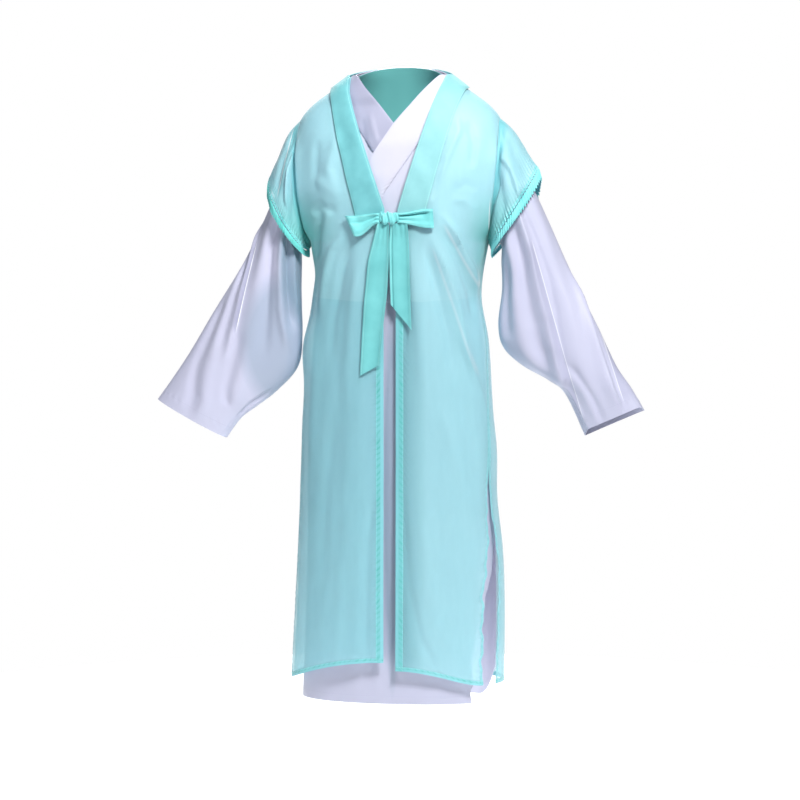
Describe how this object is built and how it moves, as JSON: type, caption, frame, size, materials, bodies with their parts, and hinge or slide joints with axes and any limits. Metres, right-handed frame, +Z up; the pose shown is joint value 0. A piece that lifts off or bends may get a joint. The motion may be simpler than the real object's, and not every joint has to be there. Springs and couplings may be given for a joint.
{
  "type": "hanfu robe set",
  "caption": "Cross-collar white robe with wide sleeves under a sheer cap-sleeved mint coat tied at the chest with a ribbon bow, filled out as worn.",
  "frame": {"origin": "midway between the two points where the shoulders meet the neck, where the wearer's shoulders hold the set", "axes": "+Z up, +X towards the wearer's left, -Y towards the front"},
  "size_m": [0.9365, 0.2448, 1.1965],
  "materials": {
    "white_satin": "smooth white satin-weave polyester with a soft cool sheen",
    "mint_sheer": "sheer mint chiffon, slightly see-through, fine even weave",
    "mint_band": "doubled mint chiffon bands, hems and ribbon, denser and more saturated",
    "teal_lining": "plain matt teal facing cloth"
  },
  "bodies": {
    "root": {"robe_front_left": "white_satin", "robe_front_right": "white_satin", "robe_back": "white_satin", "robe_collar_left": "white_satin", "robe_collar_right": "white_satin", "robe_collar_back": "white_satin", "robe_skirt_front": "white_satin", "robe_skirt_back": "white_satin", "robe_sleeve_left": "white_satin", "robe_sleeve_right": "white_satin", "coat_front_left": "mint_sheer", "coat_front_right": "mint_sheer", "coat_back": "mint_sheer", "coat_cap_left": "mint_sheer", "coat_cap_right": "mint_sheer", "coat_cap_hem_left": "mint_band", "coat_cap_hem_right": "mint_band", "coat_band_left": "mint_band", "coat_band_right": "mint_band", "coat_band_back": "mint_band", "bow_knot": "mint_band", "bow_loop_left": "mint_band", "bow_loop_right": "mint_band", "bow_tail_left": "mint_band", "bow_tail_right": "mint_band", "neck_lining": "teal_lining"}
  },
  "joints": []
}
